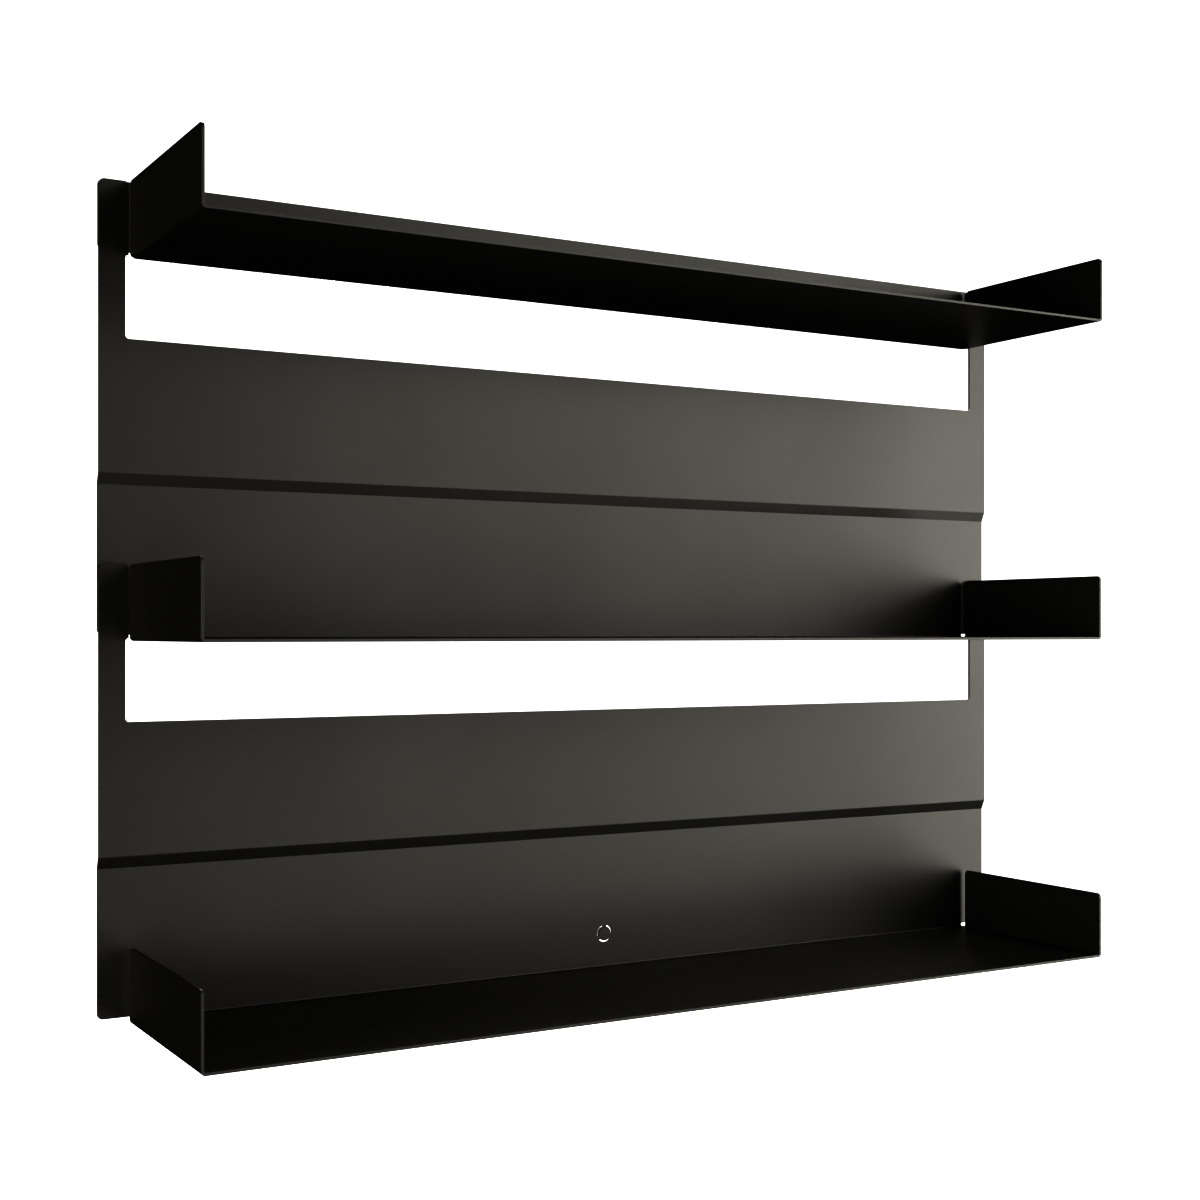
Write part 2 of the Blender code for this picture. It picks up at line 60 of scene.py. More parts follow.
# ---------------------------------------------------------------- sizes, in metres
# The outer sizes are read from the frame.
TOP_LOW, TOP_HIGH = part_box("top_tray_panel")
MIDDLE_LOW, MIDDLE_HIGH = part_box("middle_tray_panel")
BOTTOM_LOW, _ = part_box("bottom_tray_panel")
STUD_LOW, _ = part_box("upper_stud_centre")

SHEET = 0.002            # thickness of the panels' sheet
GAP = 0.0003             # clearance between pieces that touch
BEND = 0.001             # inside radius of the tray folds
CORNER = 0.004           # radius of the free corners of plates and side walls
JOGGLE_BEND = 0.0008     # inside radius of the joggle folds
JOGGLE_ANGLE = math.radians(24)  # lean of the joggle between its two folds
JOGGLE_DROP = 0.1466     # from the underside of the tray above down to the joggle
TRAY_INSET = 0.0211      # from a plate's end to the outside of the tray's side wall
WALL_BACK_GAP = 0.003    # slit between a side wall and the plate
FOLD_INSET = 0.0248      # from a plate's end to the start of its fold into the tray
PLATE_RISE = 0.0043      # from the tray's underside up to the plate's free lower edge
WINDOW_DROP = 0.0554     # from the underside of the tray above down to the window's lower edge
WINDOW_RISE = 0.0020     # from that underside up to where the window narrows between the ears
WINDOW_CORNER = 0.0025   # radius of the window's lower corners
WINDOW_STRIP = 0.0182    # width of the strips beside the window
EAR_WIDTH = 0.0204
EAR_ROUND = 0.003        # radius of the ears' upper inner corners
RING_RADIUS = 0.0068     # the pierced ring's outer radius
RING_SLOT = 0.0011       # width of its slots
RING_RISE = 0.028        # from the tray's underside up to its middle
RING_ARCS = 3
RING_BRIDGE = math.radians(30)   # the bridge between two slots

RAIL_SHEET = 0.0015
RAIL_LIP = 0.014         # height of the rail's forward lip
RAIL_STEP = 0.0018       # how far forward the lip stands
SLOT_LEAD = 0.0012       # chamfer at the mouth of the rail's slots
SCREW_RADIUS = 0.002
SCREW_POINT = 0.005      # length of the screw's point
THREAD_PITCH = 0.0011
THREAD_DEPTH = 0.00045
THREAD_FLANK = 0.4       # the thread's rising flank, as a share of its pitch
THREAD_CREST = 0.1       # the thread's flat crest, as a share of its pitch
HEAD_RIM = 0.0003        # height of the straight rim round a countersunk head
HEAD_DEPTH = 0.0017      # depth of a countersunk head
PAN_HEIGHT = 0.0022      # height of a pan head
RECESS_RADIUS = 0.0017
RECESS_DEPTH = 0.0011
RECESS_SIDES = 6
RECESS_POINT = 1.3       # depth of the recess's pointed floor, as a share of its sides' depth
PLUG_RIBS = 9
PLUG_RIB = 0.0004        # height of the plug's ribs
PLUG_SLIT = 0.0007       # width of the plug's slits
PLUG_COLLAR = 0.0015     # unribbed length at the plug's rim
PLUG_FALL = 0.25         # where each rib's valley and the next crest lie, as shares of
PLUG_RISE = 0.9          # the ribs' pitch
STUD_RADIUS = 0.002
STUD_FLANGE_RADIUS = 0.0035
STUD_FLANGE = 0.0008     # height of the stud's flange
STUD_HEAD_HEIGHT = 0.0012
WELD_BEAD = 0.0004
GROOVE_START = 0.35      # where a spacer's groove starts and reaches its depth, as shares of
GROOVE_FLOOR = 0.4       # the spacer's height
GROOVE_DEPTH = 0.0002
PAD_FILM = 0.0002        # the pad's adhesive layer

COAT_EDGE = 0.0002       # rounding that the coat leaves on the sheet's cut edges
RAIL_EDGE = 0.0002
HEAD_EDGE = 0.00015      # rounding on the heads of screws and studs
SPACER_EDGE = 0.0002
MOULDED_EDGE = 0.0001    # rounding on plugs and pads
EDGE_SHARE = 0.45        # the most of a side's length that a rounding takes

SIDES = ("left", "right")
STUD_PLACES = ("left", "centre", "right")
RAIL_SCREW_PLACES = ("far_left", "left", "right", "far_right")

HALF = MIDDLE_HIGH.x
TRAY_WALL = TOP_HIGH.z - TOP_LOW.z
PITCH = TOP_LOW.z - MIDDLE_LOW.z
LOWER_FRONT = MIDDLE_HIGH.y - SHEET
TOP_FRONT = TOP_HIGH.y - SHEET
UPPER_REAR = STUD_LOW.y - GAP
UPPER_FRONT = UPPER_REAR - SHEET
WALL = 0.0               # the wall's surface, where spacers and pads rest
QUARTER = math.pi / 2

FOLD_STEPS = 10          # segments of each fold and rounded corner
TURN_STEPS = 40          # sides of turned pieces
ROUND_STEPS = 3          # segments of each rounded edge
ROUND_ANGLE = math.radians(35)   # edges sharper than this are rounded
SHEET_CREASE = math.radians(50)  # edges sharper than these are shaded as creases
TURNED_CREASE = math.radians(40)
MARGIN = 0.005           # how far cutters reach past what they cut
TINY = 0.000001          # tolerance when points are compared
UPRIGHT = 0.99           # the least share of Y in the normal of an upright face


# ---------------------------------------------------------------- mesh helpers
def new_object(name, mesh):
    """Link a mesh to the scene as an object."""
    obj = bpy.data.objects.new(name, mesh)
    bpy.context.scene.collection.objects.link(obj)
    return obj


def finished(obj):
    """Apply the object's modifiers, so its mesh is the final one."""
    graph = bpy.context.evaluated_depsgraph_get()
    graph.update()
    mesh = bpy.data.meshes.new_from_object(obj.evaluated_get(graph))
    old = obj.data
    obj.modifiers.clear()
    obj.data = mesh
    bpy.data.meshes.remove(old)


def mesh_from(bm, name):
    """Turn a bmesh into a mesh."""
    mesh = bpy.data.meshes.new(name)
    bm.to_mesh(mesh)
    bm.free()
    return mesh


def extrude_row(bm, edges, move):
    """Extrude a row of edges by one move and return the new row."""
    made = bmesh.ops.extrude_edge_only(bm, edges=edges)["geom"]
    verts = [item for item in made if isinstance(item, bmesh.types.BMVert)]
    bmesh.ops.translate(bm, verts=verts, vec=move)
    fresh = set(verts)
    return [
        item for item in made
        if isinstance(item, bmesh.types.BMEdge) and all(v in fresh for v in item.verts)
    ]


def prism(name, points, y_front, y_rear):
    """Return a solid object with an (x, z) outline, from y_front to y_rear."""
    bm = bmesh.new()
    face = bm.faces.new([bm.verts.new((x, y_front, z)) for x, z in points])
    grown = bmesh.ops.extrude_face_region(bm, geom=[face])["geom"]
    verts = [item for item in grown if isinstance(item, bmesh.types.BMVert)]
    bmesh.ops.translate(bm, verts=verts, vec=(0.0, y_rear - y_front, 0.0))
    bmesh.ops.recalc_face_normals(bm, faces=bm.faces)
    return new_object(name, mesh_from(bm, name))


def cut_away(obj, cutters):
    """Subtract the cutters from an object, and remove them."""
    for cutter in cutters:
        boolean = obj.modifiers.new("Cut", "BOOLEAN")
        boolean.operation = "DIFFERENCE"
        boolean.solver = "EXACT"
        boolean.object = cutter
    finished(obj)
    for cutter in cutters:
        bpy.data.objects.remove(cutter, do_unlink=True)


def round_edges(obj, width):
    """Round every sharp edge and shade the piece smooth over the rounding."""
    bevel = obj.modifiers.new("Round", "BEVEL")
    bevel.width = width
    bevel.segments = ROUND_STEPS
    bevel.limit_method = "ANGLE"
    bevel.angle_limit = ROUND_ANGLE
    bevel.use_clamp_overlap = False
    bevel.miter_outer = "MITER_ARC"
    finished(obj)
    obj.data.shade_smooth()
    obj.data.set_sharp_from_angle(angle=SHEET_CREASE)
    weighted = obj.modifiers.new("Flats", "WEIGHTED_NORMAL")
    weighted.keep_sharp = True


def arc(cx, cz, radius, start, end, steps=FOLD_STEPS):
    """Return (x, z) points along an arc, both ends included."""
    angles = [start + (end - start) * step / steps for step in range(steps + 1)]
    return [(cx + radius * math.cos(a), cz + radius * math.sin(a)) for a in angles]


def softened(profile, radius):
    """Round the inner points of an (r, out) profile."""
    points = [profile[0]]
    for before, here, after in zip(profile, profile[1:], profile[2:]):
        ends = []
        for other in (before, after):
            length = math.dist(other, here)
            share = min(radius, EDGE_SHARE * length) / length
            ends.append([h + (o - h) * share for h, o in zip(here, other)])
        middle = [(a + b) / 4 + h / 2 for a, b, h in zip(ends[0], ends[1], here)]
        points += [ends[0], middle, ends[1]]
    return points + [profile[-1]]


def turned(name, profile, closed=False, steps=TURN_STEPS):
    """Return a mesh turned about the Y axis; the profile is (radius, distance out of the wall)."""
    bm = bmesh.new()
    verts = [bm.verts.new((radius, -out, 0.0)) for radius, out in profile]
    edges = [bm.edges.new(pair) for pair in zip(verts, verts[1:])]
    if closed:
        edges.append(bm.edges.new((verts[-1], verts[0])))
    bmesh.ops.spin(
        bm, geom=verts + edges, cent=(0.0, 0.0, 0.0), axis=(0.0, 1.0, 0.0), angle=2 * math.pi,
        steps=steps, use_merge=True,
    )
    bmesh.ops.remove_doubles(bm, verts=bm.verts, dist=TINY / 10)
    bmesh.ops.recalc_face_normals(bm, faces=bm.faces)
    return mesh_from(bm, name)


def middle_of(node):
    """Return the middle of a CAD node's box."""
    low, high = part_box(node)
    return (low + high) / 2


def put(name, mesh, node, slot, material, y=None):
    """Place a copy of a turned mesh on its CAD node's axis, in place of the node.

    The mesh's zero goes to y, or to the node's front end where no y is given.
    """
    place = middle_of(node)
    front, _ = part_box(node)
    obj = new_object(name, mesh.copy())
    obj.location = (place.x, front.y if y is None else y, place.z)
    obj.data.shade_smooth()
    obj.data.set_sharp_from_angle(angle=TURNED_CREASE)
    settle(obj, material, slot, node)


# ---------------------------------------------------------------- folded panels
def fold_moves(start):
    """Return the (outward, up) moves round a tray fold, whose travel turns up by a right angle."""
    moves = []
    for step in range(FOLD_STEPS):
        a = start + QUARTER * step / FOLD_STEPS
        b = start + QUARTER * (step + 1) / FOLD_STEPS
        moves.append((BEND * (math.sin(b) - math.sin(a)), BEND * (math.cos(a) - math.cos(b))))
    return moves


def turn_moves(radius):
    """Return the (back, up) moves round one fold of the joggle."""
    steps = FOLD_STEPS // 2
    moves = []
    for step in range(steps):
        a = JOGGLE_ANGLE * step / steps
        b = JOGGLE_ANGLE * (step + 1) / steps
        moves.append((radius * (math.cos(a) - math.cos(b)), radius * (math.sin(a) - math.sin(b))))
    return moves


def joggle_moves():
    """Return the (back, up) moves of the face down the joggle, from the upper level to the lower."""
    first = turn_moves(JOGGLE_BEND + SHEET)
    second = turn_moves(JOGGLE_BEND)
    left_over = LOWER_FRONT - UPPER_FRONT - sum(back for back, _ in first + second)
    return first + [(left_over, -left_over / math.tan(JOGGLE_ANGLE))] + second[::-1]


def panel_face(foot, front, stepped):
    """Return the panel's face side as an open surface: plate front, tray top, walls' insides."""
    bm = bmesh.new()
    floor = foot + SHEET
    top = foot + TRAY_WALL
    y_plate = TOP_FRONT
    y_top = TOP_FRONT
    if stepped:
        top += PITCH
        y_plate = LOWER_FRONT
        y_top = UPPER_FRONT

    stations = (-HALF, -HALF + FOLD_INSET, HALF - FOLD_INSET, HALF)
    verts = [bm.verts.new((x, y_top, top)) for x in stations]
    row = [bm.edges.new(pair) for pair in zip(verts, verts[1:])]
    level = top
    if stepped:
        level = foot + PITCH - JOGGLE_DROP
        row = extrude_row(bm, row, (0.0, 0.0, level - top))
        for back, up in joggle_moves():
            row = extrude_row(bm, row, (0.0, back, up))
            level += up
    row = extrude_row(bm, row, (0.0, 0.0, foot + PLATE_RISE - level))

    tab = [edge for edge in row if all(abs(v.co.x) < HALF - TINY for v in edge.verts)]
    tab = extrude_row(bm, tab, (0.0, 0.0, SHEET + BEND - PLATE_RISE))
    for forward, up in fold_moves(-QUARTER):
        tab = extrude_row(bm, tab, (0.0, -forward, up))
    tab = extrude_row(bm, tab, (0.0, BEND - WALL_BACK_GAP, 0.0))

    y_wall = y_plate - WALL_BACK_GAP
    x_fold = HALF - TRAY_INSET - SHEET - BEND
    for vert in {v for edge in tab for v in edge.verts}:
        corner = bm.verts.new((math.copysign(x_fold, vert.co.x), y_wall, floor))
        tab.append(bm.edges.new((vert, corner)))
    extrude_row(bm, tab, (0.0, front - y_wall, 0.0))
    for side in (-1.0, 1.0):
        hem = [
            edge for edge in bm.edges
            if all(abs(v.co.x - side * x_fold) < TINY for v in edge.verts)
        ]
        for out, up in fold_moves(0.0):
            hem = extrude_row(bm, hem, (side * out, 0.0, up))
        extrude_row(bm, hem, (0.0, 0.0, TRAY_WALL - SHEET - BEND))

    round_corners(bm, foot, top)
    face_forward(bm)
    return bm


def face_forward(bm):
    """Make an open sheet's normals agree, with its widest upright face towards -Y."""
    bmesh.ops.recalc_face_normals(bm, faces=bm.faces)
    upright = [face for face in bm.faces if abs(face.normal.y) > UPRIGHT]
    widest = max(upright, key=lambda face: face.calc_area())
    if widest.normal.y > 0:
        bmesh.ops.reverse_faces(bm, faces=bm.faces)


def round_corners(bm, foot, top):
    """Round the free corners of the back plate and of the tray's side walls."""
    x_wall = HALF - TRAY_INSET - SHEET

    def at(value, target):
        return abs(value - target) < TINY

    def is_corner(vert):
        x, _, z = vert.co
        on_plate = at(abs(x), HALF) and (at(z, top) or at(z, foot + PLATE_RISE))
        on_wall = at(abs(x), x_wall) and at(z, foot + TRAY_WALL)
        return on_plate or on_wall

    corners = [vert for vert in bm.verts if is_corner(vert)]
    bmesh.ops.bevel(
        bm, geom=corners, offset=CORNER, offset_type="OFFSET", segments=FOLD_STEPS,
        profile=0.5, affect="VERTICES",
    )


def window_cutter(foot):
    """Return the cutter for the window round the tray above, open at the top between the ears."""
    side = HALF - WINDOW_STRIP
    ear = HALF - EAR_WIDTH
    low = foot - WINDOW_DROP
    shoulder = foot + WINDOW_RISE
    rim = foot + TRAY_WALL
    right = arc(side - WINDOW_CORNER, low + WINDOW_CORNER, WINDOW_CORNER, -QUARTER, 0.0)
    right += arc(ear, shoulder - (side - ear), side - ear, 0.0, QUARTER)
    right += arc(ear + EAR_ROUND, rim - EAR_ROUND, EAR_ROUND, 2 * QUARTER, QUARTER)
    right.append((ear + EAR_ROUND, rim + MARGIN))
    points = right + [(-x, z) for x, z in reversed(right)]
    return prism("window", points, UPPER_FRONT - MARGIN, UPPER_REAR + MARGIN)


def ring_cutters(x, z):
    """Return the cutters for the ring of arc slots."""
    cutters = []
    sweep = 2 * math.pi / RING_ARCS - RING_BRIDGE
    for slot in range(RING_ARCS):
        start = QUARTER + RING_BRIDGE / 2 + slot * (sweep + RING_BRIDGE)
        points = arc(x, z, RING_RADIUS, start, start + sweep, 2 * FOLD_STEPS)
        points += arc(x, z, RING_RADIUS - RING_SLOT, start + sweep, start, 2 * FOLD_STEPS)
        cutters.append(prism("ring", points, LOWER_FRONT - MARGIN, LOWER_FRONT + MARGIN))
    return cutters


def sink_cutter(screw):
    """Return the cutter for a countersunk screw's hole, one gap larger all round."""
    low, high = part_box(screw)
    head = (high.x - low.x) / 2 + GAP
    shank = SCREW_RADIUS + GAP
    profile = [
        (0.0, SHEET), (head, SHEET), (head, -GAP), (shank, -HEAD_DEPTH - GAP),
        (shank, -2 * SHEET), (0.0, -2 * SHEET),
    ]
    hole = new_object("sink", turned("sink", profile))
    place = middle_of(screw)
    hole.location = (place.x, low.y, place.z)
    return hole


def make_panel(name, node, stepped, holes, material):
    """Make one folded panel, with the holes cut through it, in place of its CAD node."""
    low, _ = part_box(node)
    obj = new_object(name, mesh_from(panel_face(low.z, low.y, stepped), name))
    shell = obj.modifiers.new("Sheet", "SOLIDIFY")
    shell.thickness = SHEET
    shell.offset = -1.0
    shell.use_even_offset = True
    finished(obj)
    cut_away(obj, holes)
    round_edges(obj, COAT_EDGE)
    settle(obj, material, "powder_coat", node)


# ---------------------------------------------------------------- wall rails and hardware
def make_rail(level, material):
    """Make a wall rail with its open slots and screw holes."""
    node = level + "_wall_rail"
    low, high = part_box(node)
    bm = bmesh.new()
    row = [bm.edges.new((bm.verts.new((low.x, 0.0, low.z)), bm.verts.new((high.x, 0.0, low.z))))]
    ramp = 2 * RAIL_STEP
    row = extrude_row(bm, row, (0.0, 0.0, high.z - low.z - RAIL_LIP - ramp))
    row = extrude_row(bm, row, (0.0, -RAIL_STEP, ramp))
    extrude_row(bm, row, (0.0, 0.0, RAIL_LIP))
    face_forward(bm)
    rail = new_object(node + "_zinc", mesh_from(bm, node))
    shell = rail.modifiers.new("Sheet", "SOLIDIFY")
    shell.thickness = RAIL_SHEET
    shell.offset = 1.0
    shell.use_even_offset = True
    finished(rail)

    cutters = []
    slot_radius = STUD_RADIUS + GAP
    for side in STUD_PLACES:
        stud = middle_of(f"{level}_stud_{side}")
        points = arc(stud.x, stud.z, slot_radius, -2 * QUARTER, 0.0, 2 * FOLD_STEPS)
        # The mouth widens by two leads over a height of two leads round the rail's edge.
        points += [
            (stud.x + slot_radius, high.z - SLOT_LEAD),
            (stud.x + slot_radius + 2 * SLOT_LEAD, high.z + SLOT_LEAD),
            (stud.x - slot_radius - 2 * SLOT_LEAD, high.z + SLOT_LEAD),
            (stud.x - slot_radius, high.z - SLOT_LEAD),
        ]
        cutters.append(prism("slot", points, -RAIL_STEP - MARGIN, MARGIN))
    for side in RAIL_SCREW_PLACES:
        screw = middle_of(f"{level}_rail_{side}_screw")
        points = arc(screw.x, screw.z, SCREW_RADIUS + GAP, 0.0, 4 * QUARTER, TURN_STEPS)[:-1]
        cutters.append(prism("bore", points, -MARGIN, MARGIN))
    cut_away(rail, cutters)
    round_edges(rail, RAIL_EDGE)
    settle(rail, material, "rail_zinc", node)


def shank(neck, length):
    """Return the (r, out) profile of a threaded shank, from its neck down to its point."""
    profile = [(SCREW_RADIUS - THREAD_DEPTH, neck)]
    start = neck - THREAD_PITCH
    turns = int((start + length) / THREAD_PITCH)
    for turn in range(turns):
        out = start - turn * THREAD_PITCH
        # The thread fades away along the point.
        fade = min(1.0, (out + length) / SCREW_POINT)
        root = (SCREW_RADIUS - THREAD_DEPTH) * fade
        profile += [
            (root, out),
            (root + THREAD_DEPTH, out - THREAD_FLANK * THREAD_PITCH),
            (root + THREAD_DEPTH, out - (THREAD_FLANK + THREAD_CREST) * THREAD_PITCH),
        ]
    return profile + [(0.0, -length)]


def screw_mesh(name, head, top, neck, length):
    """Return a screw turned from its head's profile, with a hexagon recess in the head."""
    profile = softened([(0.0, top)] + head + [(SCREW_RADIUS, neck)], HEAD_EDGE)
    profile += shank(neck, length)
    blank = new_object(name, turned(name, profile))
    key = [
        (0.0, top + RECESS_DEPTH), (RECESS_RADIUS, top + RECESS_DEPTH),
        (RECESS_RADIUS, top - RECESS_DEPTH), (0.0, top - RECESS_POINT * RECESS_DEPTH),
    ]
    cut_away(blank, [new_object("key", turned("key", key, steps=RECESS_SIDES))])
    mesh = blank.data
    bpy.data.objects.remove(blank, do_unlink=True)
    return mesh


def countersunk_mesh(node):
    """Return the mesh of a countersunk screw, its head's flat top at 0."""
    low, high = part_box(node)
    radius = (high.x - low.x) / 2
    head = [(radius, 0.0), (radius, -HEAD_RIM)]
    return screw_mesh("countersunk", head, 0.0, -HEAD_DEPTH, high.y - low.y)


def pan_mesh(node):
    """Return the mesh of a pan-head screw, the underside of its head at 0."""
    low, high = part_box(node)
    radius = (high.x - low.x) / 2
    head = [
        (radius * math.sin(a), PAN_HEIGHT * (0.5 + 0.5 * math.cos(a)))
        for a in (QUARTER * step / FOLD_STEPS for step in range(1, FOLD_STEPS))
    ]
    head += [(radius, PAN_HEIGHT / 3), (radius, 0.0)]
    return screw_mesh("pan", head, PAN_HEIGHT, 0.0, high.y - low.y - PAN_HEIGHT)


def plug_mesh(node):
    """Return a ribbed wall plug, slit lengthwise in a cross, its rim at 0."""
    low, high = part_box(node)
    radius = (high.x - low.x) / 2
    length = high.y - low.y
    bore = SCREW_RADIUS + GAP
    pitch = (length - PLUG_COLLAR) / PLUG_RIBS
    profile = [(bore, 0.0), (radius, 0.0), (radius, -PLUG_COLLAR)]
    for rib in range(PLUG_RIBS):
        out = -PLUG_COLLAR - rib * pitch
        profile += [(radius - PLUG_RIB, out - PLUG_FALL * pitch), (radius, out - PLUG_RISE * pitch)]
    profile += [(radius - PLUG_RIB, -length), (bore, -length), (bore, 0.0)]
    outline = softened(profile, MOULDED_EDGE)[:-1]
    plug = new_object("plug", turned("plug", outline, closed=True))
    wide = 2 * radius
    narrow = PLUG_SLIT / 2
    slits = []
    for x, z in ((wide, narrow), (narrow, wide)):
        corners = [(-x, -z), (x, -z), (x, z), (-x, z)]
        slits.append(prism("slit", corners, length / 3, length + MARGIN))
    cut_away(plug, slits)
    mesh = plug.data
    bpy.data.objects.remove(plug, do_unlink=True)
    return mesh


def spacer_mesh(node):
    """Return a spacer ring with rounded rims and a shallow groove round it, its rear at 0."""
    low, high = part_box(node)
    radius = (high.x - low.x) / 2
    height = high.y - low.y
    bore = SCREW_RADIUS + GAP
    groove = radius - GROOVE_DEPTH
    profile = [
        (bore, 0.0), (radius, 0.0), (radius, GROOVE_START * height), (groove, GROOVE_FLOOR * height),
        (groove, (1 - GROOVE_FLOOR) * height), (radius, (1 - GROOVE_START) * height),
        (radius, height), (bore, height), (bore, 0.0),
    ]
    return turned("spacer", softened(profile, SPACER_EDGE)[:-1], closed=True)


def stud_mesh(node):
    """Return a headed stud with its weld bead; 0 is the foot and the head points to the wall."""
    low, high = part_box(node)
    head = (high.x - low.x) / 2
    length = high.y - low.y
    profile = [
        (0.0, 0.0), (STUD_FLANGE_RADIUS, 0.0), (STUD_FLANGE_RADIUS, -STUD_FLANGE),
        (STUD_RADIUS + WELD_BEAD, -STUD_FLANGE), (STUD_RADIUS, -STUD_FLANGE - WELD_BEAD),
        (STUD_RADIUS, STUD_HEAD_HEIGHT - length), (head, STUD_HEAD_HEIGHT - length),
        (head, -length), (0.0, -length),
    ]
    return turned("stud", softened(profile, HEAD_EDGE))


def pad_mesh(node):
    """Return a foam pad on its thin adhesive layer, its rear at 0."""
    low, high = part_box(node)
    radius = (high.x - low.x) / 2
    height = high.y - low.y
    rim = radius - PAD_FILM
    ledge = height - 2 * PAD_FILM
    profile = [
        (0.0, 0.0), (radius, 0.0), (radius, ledge), (rim, ledge), (rim, height - PAD_FILM),
        (rim - PAD_FILM, height), (0.0, height),
    ]
    return turned("pad", softened(profile, MOULDED_EDGE))


def settle(obj, material, slot, *nodes):
    """Give a piece its material and its place on the root body, and hide the nodes it stands for."""
    obj.data.materials.clear()
    obj.data.materials.append(material)
    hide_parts(*nodes)
    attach(obj, "root")


# ---------------------------------------------------------------- materials
NOISE_LOW = 0.3          # nearly all of a noise pattern's values lie between these
NOISE_HIGH = 0.7


class Paint:
    """A Principled material with a few helpers for its node tree."""

    def __init__(self, name, roughness, metallic=0.0):
        self.material = bpy.data.materials.new(name)
        self.material.use_nodes = True
        self.nodes = self.material.node_tree.nodes
        self.links = self.material.node_tree.links
        self.shader = self.nodes["Principled BSDF"]
        self.shader.inputs["Roughness"].default_value = roughness
        self.shader.inputs["Metallic"].default_value = metallic
        self.place = self.nodes.new("ShaderNodeTexCoord").outputs["Object"]

    def stretched(self, scale):
        """Return the object's coordinates, stretched by a scale per axis."""
        mapping = self.nodes.new("ShaderNodeMapping")
        mapping.inputs["Scale"].default_value = scale
        self.links.new(self.place, mapping.inputs["Vector"])
        return mapping.outputs["Vector"]

    def noise(self, scale, detail=2.0, vector=None):
        """Return a noise pattern's value; scale is cycles per metre."""
        node = self.nodes.new("ShaderNodeTexNoise")
        node.inputs["Scale"].default_value = scale
        node.inputs["Detail"].default_value = detail
        self.links.new(vector or self.place, node.inputs["Vector"])
        return node.outputs["Fac"]

    def remap(self, value, low, high):
        """Map a noise pattern's usual values to low..high."""
        node = self.nodes.new("ShaderNodeMapRange")
        node.inputs["From Min"].default_value = NOISE_LOW
        node.inputs["From Max"].default_value = NOISE_HIGH
        node.inputs["To Min"].default_value = low
        node.inputs["To Max"].default_value = high
        self.links.new(value, node.inputs["Value"])
        return node.outputs["Result"]

    def blend(self, value, dark, light):
        """Return a colour between dark and light by a value from 0 to 1."""
        ramp = self.nodes.new("ShaderNodeValToRGB")
        ramp.color_ramp.elements[0].color = (*dark, 1.0)
        ramp.color_ramp.elements[1].color = (*light, 1.0)
        self.links.new(value, ramp.inputs["Fac"])
        return ramp.outputs["Color"]

    def colour(self, output):
        """Colour the material by a node's output."""
        self.links.new(output, self.shader.inputs["Base Color"])

    def roughness(self, output):
        """Set the material's roughness by a node's output."""
        self.links.new(output, self.shader.inputs["Roughness"])

    def bump(self, *layers):
        """Stack bumps; each layer is (height value, depth in metres)."""
        normal = None
        for height, depth in layers:
            node = self.nodes.new("ShaderNodeBump")
            node.inputs["Strength"].default_value = 1.0
            node.inputs["Distance"].default_value = depth
            self.links.new(height, node.inputs["Height"])
            if normal is not None:
                self.links.new(normal, node.inputs["Normal"])
            normal = node.outputs["Normal"]
        self.links.new(normal, self.shader.inputs["Normal"])


def powder_coat():
    """Black satin powder coat: fine orange peel, slight flow marks, uneven sheen."""
    paint = Paint("black_powder_coat", 0.42)
    peel = paint.noise(650.0, 1.5)
    flow = paint.noise(90.0, 2.0)
    cloud = paint.noise(7.0, 3.0)
    speck = paint.noise(2600.0, 1.0)
    paint.colour(paint.blend(
        paint.remap(speck, 0.0, 1.0), (0.0088, 0.0087, 0.0080), (0.0126, 0.0124, 0.0114),
    ))
    paint.roughness(paint.remap(cloud, 0.40, 0.46))
    paint.bump((flow, 0.00006), (peel, 0.00001))
    return paint.material


def rail_zinc():
    """Zinc-plated sheet: rolling lines along the rail, a faint spangle, slight dulling."""
    paint = Paint("rail_zinc", 0.46, 1.0)
    lines = paint.noise(1.0, 3.0, paint.stretched((6.0, 900.0, 900.0)))
    spangle = paint.noise(140.0, 2.0)
    cloud = paint.noise(14.0, 3.0)
    paint.colour(paint.blend(
        paint.remap(spangle, 0.0, 1.0), (0.32, 0.33, 0.35), (0.44, 0.45, 0.47),
    ))
    paint.roughness(paint.remap(cloud, 0.42, 0.50))
    paint.bump((lines, 0.00002), (spangle, 0.00001))
    return paint.material


def bright_zinc(name, dark, light):
    """Turned and plated steel: fine turning rings, a little blue and yellow in the plating."""
    paint = Paint(name, 0.26, 1.0)
    rings = paint.noise(1.0, 2.0, paint.stretched((150.0, 5000.0, 150.0)))
    tint = paint.noise(260.0, 2.0)
    paint.colour(paint.blend(paint.remap(tint, 0.0, 1.0), dark, light))
    paint.roughness(paint.remap(rings, 0.20, 0.36))
    paint.bump((rings, 0.00001))
    return paint.material


def grey_nylon():
    """Moulded nylon: matt with a fine grain and slightly uneven colour."""
    paint = Paint("grey_nylon", 0.55)
    grain = paint.noise(4200.0, 2.0)
    cloud = paint.noise(220.0, 2.0)
    paint.colour(paint.blend(paint.remap(cloud, 0.0, 1.0), (0.27, 0.28, 0.29), (0.34, 0.35, 0.36)))
    paint.roughness(paint.remap(grain, 0.46, 0.62))
    paint.bump((grain, 0.00003))
    return paint.material


def foam():
    """Black closed-cell foam: dead matt, with open cells on its skin."""
    paint = Paint("foam_pad", 0.9)
    cells = paint.noise(2400.0, 3.0)
    paint.colour(paint.blend(
        paint.remap(cells, 0.0, 1.0), (0.018, 0.018, 0.018), (0.045, 0.045, 0.045),
    ))
    paint.roughness(paint.remap(cells, 0.82, 0.98))
    paint.bump((cells, 0.00012))
    return paint.material


